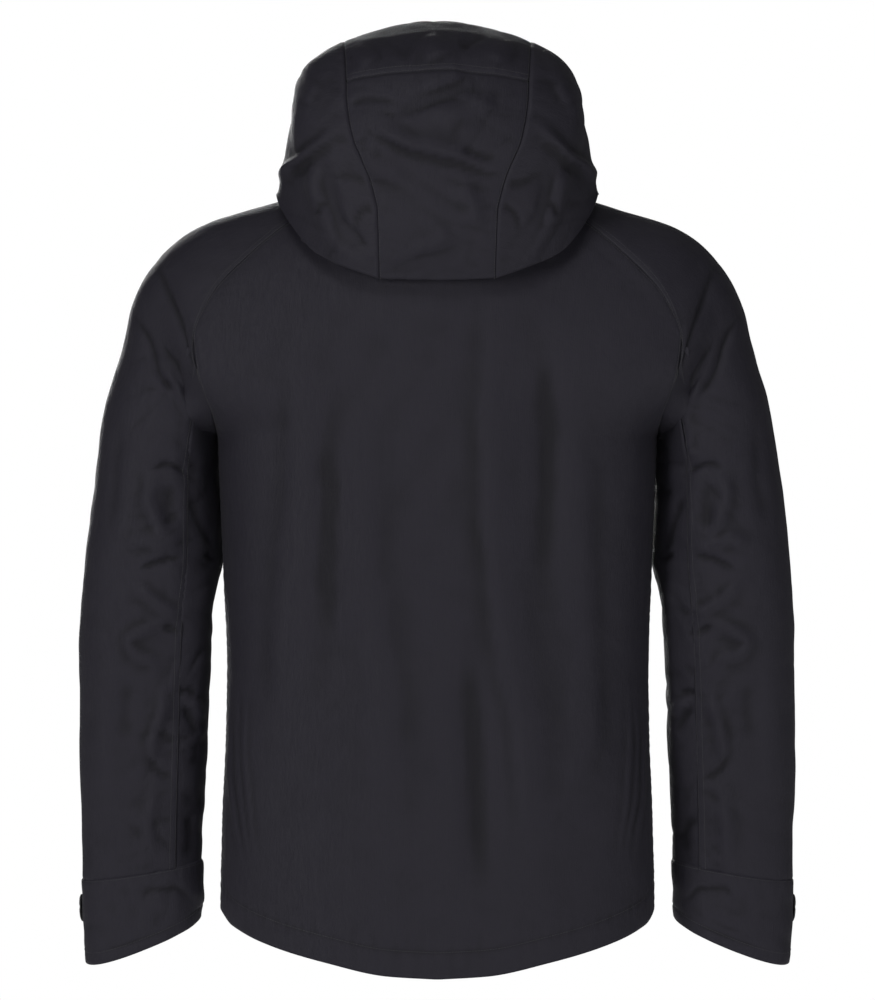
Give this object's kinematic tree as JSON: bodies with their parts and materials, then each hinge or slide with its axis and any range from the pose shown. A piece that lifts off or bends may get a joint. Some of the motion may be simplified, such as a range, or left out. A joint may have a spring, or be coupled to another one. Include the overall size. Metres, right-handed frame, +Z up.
{
  "type": "hardshell jacket",
  "caption": "Hooded waterproof hardshell jacket with raglan shoulders, a dropped back hem, helmet-size hood, cuff tabs, a full front zip and zipped hand pockets",
  "frame": {"origin": "lowest point of the dropped back hem, in the plane of symmetry and midway front to back", "axes": "+Z up as worn, front faces -Y, wearer's left is +X"},
  "size_m": [0.718, 0.292, 0.9539],
  "materials": {
    "shell": "woven laminate",
    "zip_teeth": "moulded",
    "zip_tape": "woven",
    "lining": "knit backer",
    "patches": "hook and loop",
    "eyelets": "satin",
    "hanger_loop": "braid",
    "stiffener": "sheet",
    "cuff_tab": "moulded",
    "slider_metal": "satin",
    "pull_plastic": "moulded"
  },
  "bodies": {
    "torso": {"back_panel": "shell", "front_panel_left": "shell", "front_panel_right": "shell", "side_panel_left": "shell", "side_panel_right": "shell", "shoulder_yoke_left": "shell", "shoulder_yoke_right": "shell", "main_zip_coil_left": "zip_teeth", "main_zip_coil_right": "zip_teeth", "main_zip_tape_left": "zip_tape", "main_zip_tape_right": "zip_tape", "pocket_zip_coil_left": "zip_teeth", "pocket_zip_coil_right": "zip_teeth", "pocket_zip_tape_left": "zip_tape", "pocket_zip_tape_right": "zip_tape", "pocket_bag_left": "lining", "pocket_bag_right": "lining", "collar": "shell", "collar_facing": "lining", "hem_facing": "lining", "side_seam_tape": "zip_tape", "neck_patch": "patches", "hem_eyelets": "eyelets", "hanger_loop": "hanger_loop", "main_zip_box": "zip_teeth", "main_zip_pin": "zip_teeth", "main_zip_top_stops": "zip_teeth", "storm_flap": "lining", "chin_guard": "lining"},
    "hood": {"hood_centre_panel": "shell", "hood_crown_panel": "shell", "hood_side_left": "shell", "hood_side_right": "shell", "hood_base_left": "shell", "hood_base_right": "shell", "brim_stiffener": "stiffener", "hood_facing": "lining"},
    "sleeve_left": {"sleeve_upper_left": "shell", "sleeve_under_left": "shell", "underarm_gusset_left": "shell", "cuff_band_left": "shell", "cuff_loop_patch_left": "patches"},
    "cuff_tab_left": {"cuff_tab_left": "cuff_tab", "cuff_hook_patch_left": "patches"},
    "pocket_slider_left": {"pocket_slider_left": "slider_metal"},
    "pocket_pull_left": {"pocket_pull_left": "pull_plastic"},
    "sleeve_right": {"sleeve_upper_right": "shell", "sleeve_under_right": "shell", "underarm_gusset_right": "shell", "cuff_band_right": "shell", "cuff_loop_patch_right": "patches"},
    "cuff_tab_right": {"cuff_tab_right": "cuff_tab", "cuff_hook_patch_right": "patches"},
    "pocket_slider_right": {"pocket_slider_right": "slider_metal"},
    "pocket_pull_right": {"pocket_pull_right": "pull_plastic"},
    "main_slider": {"main_zip_slider": "slider_metal"},
    "main_pull": {"main_zip_pull": "pull_plastic"}
  },
  "joints": [
    {"name": "hood_tilt", "type": "hinge", "parent": "torso", "child": "hood", "pos_m": [0, -0.085, 0.765], "axis": [1, 0, 0], "range_deg": [0, 10]},
    {"name": "shoulder_swing_left", "type": "hinge", "parent": "torso", "child": "sleeve_left", "pos_m": [0.175, 0, 0.621], "axis": [0, -1, 0], "range_deg": [0, 35]},
    {"name": "cuff_tab_peel_left", "type": "hinge", "parent": "sleeve_left", "child": "cuff_tab_left", "pos_m": [0.27513, -0.07007, 0.08021], "axis": [0.0102, -0.0146, -0.9998], "range_deg": [0, 100]},
    {"name": "pocket_zip_slide_left", "type": "slide", "parent": "torso", "child": "pocket_slider_left", "axis": [0.0239, -0.0357, -0.9991], "range_m": [0, 0.145]},
    {"name": "pocket_pull_flip_left", "type": "hinge", "parent": "pocket_slider_left", "child": "pocket_pull_left", "pos_m": [0.18056, -0.07506, 0.31559], "axis": [-0.747, -0.6648, 0.0059], "range_deg": [0, 150]},
    {"name": "shoulder_swing_right", "type": "hinge", "parent": "torso", "child": "sleeve_right", "pos_m": [-0.175, 0, 0.621], "axis": [0, 1, 0], "range_deg": [0, 35]},
    {"name": "cuff_tab_peel_right", "type": "hinge", "parent": "sleeve_right", "child": "cuff_tab_right", "pos_m": [-0.27513, -0.07007, 0.08021], "axis": [0.0102, 0.0146, 0.9998], "range_deg": [0, 100]},
    {"name": "pocket_zip_slide_right", "type": "slide", "parent": "torso", "child": "pocket_slider_right", "axis": [-0.0239, -0.0357, -0.9991], "range_m": [0, 0.145]},
    {"name": "pocket_pull_flip_right", "type": "hinge", "parent": "pocket_slider_right", "child": "pocket_pull_right", "pos_m": [-0.18056, -0.07506, 0.31559], "axis": [-0.747, 0.6648, -0.0059], "range_deg": [0, 150]},
    {"name": "main_zip_slide", "type": "slide", "parent": "torso", "child": "main_slider", "axis": [0, -0.0555, -0.9985], "range_m": [0, 0.67]},
    {"name": "main_pull_flip", "type": "hinge", "parent": "main_slider", "child": "main_pull", "pos_m": [0, -0.09248, 0.77161], "axis": [-1, 0, 0], "range_deg": [0, 150]}
  ]
}
